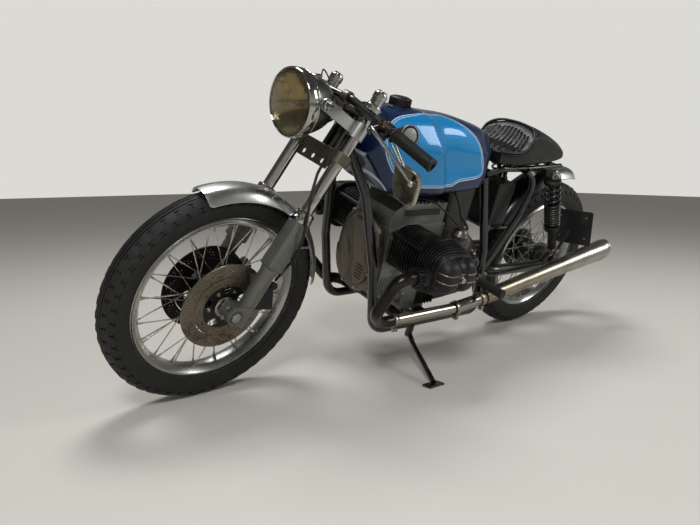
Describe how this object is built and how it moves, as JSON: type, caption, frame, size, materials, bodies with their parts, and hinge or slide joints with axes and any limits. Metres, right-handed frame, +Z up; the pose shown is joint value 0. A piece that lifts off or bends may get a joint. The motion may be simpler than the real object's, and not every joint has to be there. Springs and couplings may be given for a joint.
{
  "type": "cafe racer motorcycle",
  "caption": "Naked cafe racer motorcycle with a flat twin engine, wire wheels and a humped single seat, leaning on its side stand.",
  "frame": {"origin": "ground level, under the middle of the parked machine's bounding box", "axes": "+X forward along the machine, +Y to its left, +Z up; the machine leans 18.7 degrees to its left on its side stand"},
  "size_m": [2.1118, 0.8127, 0.9439],
  "materials": {
    "tyre": "treaded rubber",
    "rim_alloy": "polished alloy",
    "spoke_steel": "stainless",
    "cast_grey": "grey painted castings",
    "hub_dark": "black castings",
    "disc_steel": "worn brake discs",
    "chrome": "chrome plate",
    "steel": "machined steel",
    "frame_black": "gloss black enamel",
    "engine_black": "satin black engine enamel",
    "engine_alloy": "brushed alloy cover",
    "guard_silver": "satin silver sheet",
    "tank_blue": "metallic blue with navy top and white pinstripes",
    "seat_black": "black stitched leather",
    "rubber": "black rubber",
    "plastic": "black plastic",
    "lens": "ribbed lamp glass",
    "stainless": "golden brushed stainless",
    "plate": "blank plate"
  },
  "bodies": {
    "chassis": {"air_filter_box": "plastic", "battery": "plastic", "bevel_drive": "engine_black", "cables": "rubber", "carburettors": "engine_alloy", "cylinder_barrels": "engine_black", "cylinder_heads": "engine_black", "engine_crankcase": "engine_black", "engine_front_cover": "engine_alloy", "filler_cap": "plastic", "foot_pegs": "rubber", "frame_backbone": "frame_black", "frame_downtubes": "frame_black", "frame_lower_rails": "frame_black", "frame_rear_uprights": "frame_black", "fuel_hoses": "rubber", "fuel_tank": "tank_blue", "gearbox": "engine_black", "left_header": "stainless", "number_plate": "plate", "rear_axle": "steel", "rear_mudguard": "guard_silver", "rear_subframe": "frame_black", "right_header": "stainless", "rocker_covers": "engine_black", "seat": "seat_black", "shock_dampers": "hub_dark", "shock_springs": "frame_black", "silencer": "stainless", "swingarm": "frame_black"},
    "steering": {"bar_mirror": "plastic", "fork_sliders": "cast_grey", "fork_stanchions": "chrome", "front_axle": "steel", "front_callipers": "hub_dark", "front_mudguard": "guard_silver", "grips": "rubber", "handlebar": "frame_black", "headlamp_ears": "guard_silver", "headlamp_lens": "lens", "headlamp_rim": "chrome", "headlamp_shell": "frame_black", "levers": "engine_alloy", "lower_yoke": "cast_grey", "top_yoke": "cast_grey", "brake_hoses": "rubber"},
    "front_wheel": {"front_tyre": "tyre", "front_rim": "rim_alloy", "front_spokes": "spoke_steel", "front_hub": "hub_dark", "front_brake_discs": "disc_steel"},
    "rear_wheel": {"rear_tyre": "tyre", "rear_rim": "rim_alloy", "rear_spokes": "spoke_steel", "rear_hub": "hub_dark"},
    "side_stand": {"side_stand": "frame_black"}
  },
  "joints": [
    {"name": "steering_turn", "type": "hinge", "parent": "chassis", "child": "steering", "pos_m": [0.82494, -0.19473, 0.00053], "axis": [-0.4683, 0.2831, 0.837], "range_deg": [-38, 28]},
    {"name": "front_wheel_spin", "type": "hinge", "parent": "steering", "child": "front_wheel", "pos_m": [0.73015, -0.08382, 0.30927], "axis": [-0.0775, 0.9305, -0.358], "continuous": true},
    {"name": "rear_wheel_spin", "type": "hinge", "parent": "chassis", "child": "rear_wheel", "pos_m": [-0.73462, -0.09085, 0.30965], "axis": [-0.0005, 0.9472, -0.3206], "continuous": true},
    {"name": "side_stand_fold", "type": "hinge", "parent": "chassis", "child": "side_stand", "pos_m": [0.03508, -0.01907, 0.10267], "axis": [0.0066, 0.372, 0.9282], "range_deg": [0, 109]}
  ]
}
